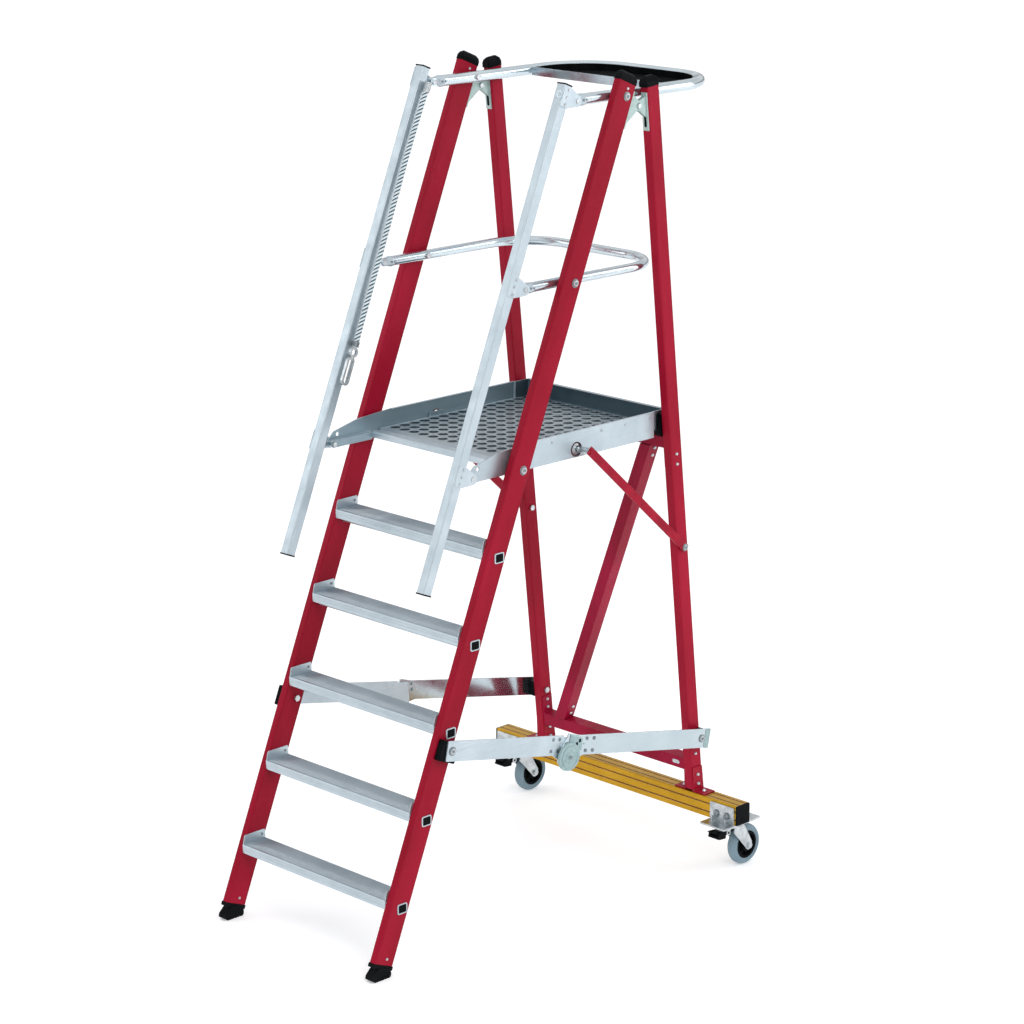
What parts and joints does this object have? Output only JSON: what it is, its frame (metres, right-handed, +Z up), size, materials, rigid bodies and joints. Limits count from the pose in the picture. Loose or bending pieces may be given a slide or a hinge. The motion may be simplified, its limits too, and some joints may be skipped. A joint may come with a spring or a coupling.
{
  "type": "platform step ladder",
  "caption": "Folding fibreglass platform step ladder with guard rails, tool tray, locking spreaders, safety rope and castors on a wide traverse.",
  "frame": {"origin": "on the floor, at the middle of the footprint box of the open ladder", "axes": "+Z up, +X to the right of a person climbing, +Y from the treads towards the castors"},
  "size_m": [1.0162, 1.4698, 2.4125],
  "materials": {
    "grp_red": "smooth pultruded fibreglass with a deep red gel coat",
    "aluminium": "extruded, fine lengthwise die lines",
    "deck_aluminium": "dark, punched anti-slip deck",
    "tray_aluminium": "folded sheet",
    "gold_aluminium": "gold anodised extrusion",
    "hinge_casting": "fine sand-cast, pale grey-green",
    "rivet_alu": "bright rivet heads",
    "zinc_steel": "zinc plated",
    "red_paint": "red powder coat",
    "black_plastic": "moulded, fine grain",
    "disc_plastic": "moulded, pale grey-green",
    "black_rubber": "moulded rubber",
    "grey_tyre": "non-marking rubber",
    "white_rope": "laid three-strand rope"
  },
  "bodies": {
    "front_frame": {"front_stile_left": "grp_red", "front_stile_right": "grp_red", "tread_1": "aluminium", "tread_2": "aluminium", "tread_3": "aluminium", "tread_4": "aluminium", "tread_5": "aluminium", "tread_plugs": "black_plastic", "frame_rivets": "rivet_alu", "front_foot_left": "black_rubber", "front_foot_right": "black_rubber", "front_stile_caps": "black_plastic", "front_hinge_plates": "hinge_casting", "front_pivot_bolts": "zinc_steel", "spreader_front_blocks": "black_plastic"},
    "rear_frame": {"rear_stile_left": "grp_red", "rear_stile_right": "grp_red", "rear_stile_caps": "black_plastic", "rear_hinge_plates": "hinge_casting", "upper_crossbar": "grp_red", "lower_crossbar": "grp_red", "diagonal_brace": "grp_red", "foot_brackets": "red_paint", "rear_frame_bolts": "zinc_steel", "rear_pivot_bolts": "zinc_steel", "spreader_rear_blocks": "black_plastic", "traverse": "gold_aluminium", "traverse_end_caps": "black_plastic", "castor_clamps": "zinc_steel"},
    "platform": {"platform_side_left": "aluminium", "platform_side_right": "aluminium", "platform_deck": "deck_aluminium", "platform_nosing": "aluminium", "platform_toe_board": "aluminium", "platform_buffers": "black_plastic", "strut_stubs": "zinc_steel"},
    "struts": {"platform_struts": "red_paint"},
    "mid_rail": {"mid_rail": "aluminium"},
    "top_rail": {"top_rail": "aluminium", "tool_tray": "tray_aluminium"},
    "posts": {"guard_post_left": "aluminium", "guard_post_right": "aluminium", "post_caps": "black_plastic", "post_brackets": "aluminium", "post_bolts": "zinc_steel", "safety_rope": "white_rope", "rope_hook": "zinc_steel"},
    "spreader_front": {"spreader_front_links": "aluminium"},
    "spreader_rear": {"spreader_rear_links": "aluminium", "spreader_discs": "disc_plastic"},
    "castor_left": {"castor_fork_left": "zinc_steel", "castor_axle_left": "zinc_steel"},
    "wheel_left": {"tyre_left": "grey_tyre", "wheel_hub_left": "black_plastic"},
    "brake_left": {"brake_pedal_left": "black_plastic"},
    "castor_right": {"castor_fork_right": "zinc_steel", "castor_axle_right": "zinc_steel"},
    "wheel_right": {"tyre_right": "grey_tyre", "wheel_hub_right": "black_plastic"},
    "brake_right": {"brake_pedal_right": "black_plastic"}
  },
  "joints": [
    {"name": "rear_fold", "type": "hinge", "parent": "front_frame", "child": "rear_frame", "pos_m": [0, 0.30425, 2.307], "axis": [-1, 0, 0], "range_deg": [0, 25]},
    {"name": "platform_fold", "type": "hinge", "parent": "front_frame", "child": "platform", "pos_m": [0, -0.15146, 1.34595], "axis": [1, 0, 0], "range_deg": [0, 56]},
    {"name": "mid_rail_fold", "type": "hinge", "parent": "front_frame", "child": "mid_rail", "pos_m": [0, 0.05063, 1.84239], "axis": [1, 0, 0], "range_deg": [0, 56]},
    {"name": "top_rail_fold", "type": "hinge", "parent": "front_frame", "child": "top_rail", "pos_m": [0, 0.25272, 2.33884], "axis": [1, 0, 0], "range_deg": [0, 56]},
    {"name": "post_fold", "type": "hinge", "parent": "platform", "child": "posts", "pos_m": [0, -0.31946, 1.34595], "axis": [-1, 0, 0], "range_deg": [0, 56]},
    {"name": "strut_fold", "type": "hinge", "parent": "rear_frame", "child": "struts", "pos_m": [0, 0.50883, 0.996], "axis": [-1, 0, 0], "range_deg": [0, 29]},
    {"name": "spreader_front_fold", "type": "hinge", "parent": "front_frame", "child": "spreader_front", "pos_m": [0, -0.45158, 0.60869], "axis": [1, 0, 0], "range_deg": [0, 83]},
    {"name": "spreader_rear_fold", "type": "hinge", "parent": "rear_frame", "child": "spreader_rear", "pos_m": [0, 0.57513, 0.393], "axis": [-1, 0, 0], "range_deg": [0, 56]},
    {"name": "castor_left_swivel", "type": "hinge", "parent": "rear_frame", "child": "castor_left", "pos_m": [-0.4516, 0.6156, 0.14], "axis": [0, 0, 1], "continuous": true},
    {"name": "wheel_left_spin", "type": "hinge", "parent": "castor_left", "child": "wheel_left", "pos_m": [-0.4516, 0.6621, 0.0625], "axis": [1, 0, 0], "continuous": true},
    {"name": "brake_left_press", "type": "hinge", "parent": "castor_left", "child": "brake_left", "pos_m": [-0.4516, 0.5786, 0.122], "axis": [1, 0, 0], "range_deg": [0, 14]},
    {"name": "castor_right_swivel", "type": "hinge", "parent": "rear_frame", "child": "castor_right", "pos_m": [0.4516, 0.6156, 0.14], "axis": [0, 0, 1], "continuous": true},
    {"name": "wheel_right_spin", "type": "hinge", "parent": "castor_right", "child": "wheel_right", "pos_m": [0.4516, 0.6621, 0.0625], "axis": [1, 0, 0], "continuous": true},
    {"name": "brake_right_press", "type": "hinge", "parent": "castor_right", "child": "brake_right", "pos_m": [0.4516, 0.5786, 0.122], "axis": [1, 0, 0], "range_deg": [0, 14]}
  ],
  "couplings": [
    {"joint": "platform_fold", "follows": "rear_fold", "ratio": 2.2352},
    {"joint": "mid_rail_fold", "follows": "rear_fold", "ratio": 2.2352},
    {"joint": "top_rail_fold", "follows": "rear_fold", "ratio": 2.2352},
    {"joint": "post_fold", "follows": "rear_fold", "ratio": 2.2352},
    {"joint": "strut_fold", "follows": "rear_fold", "ratio": 1.1502},
    {"joint": "spreader_front_fold", "follows": "rear_fold", "ratio": 3.2927},
    {"joint": "spreader_rear_fold", "follows": "rear_fold", "ratio": 2.2303}
  ]
}
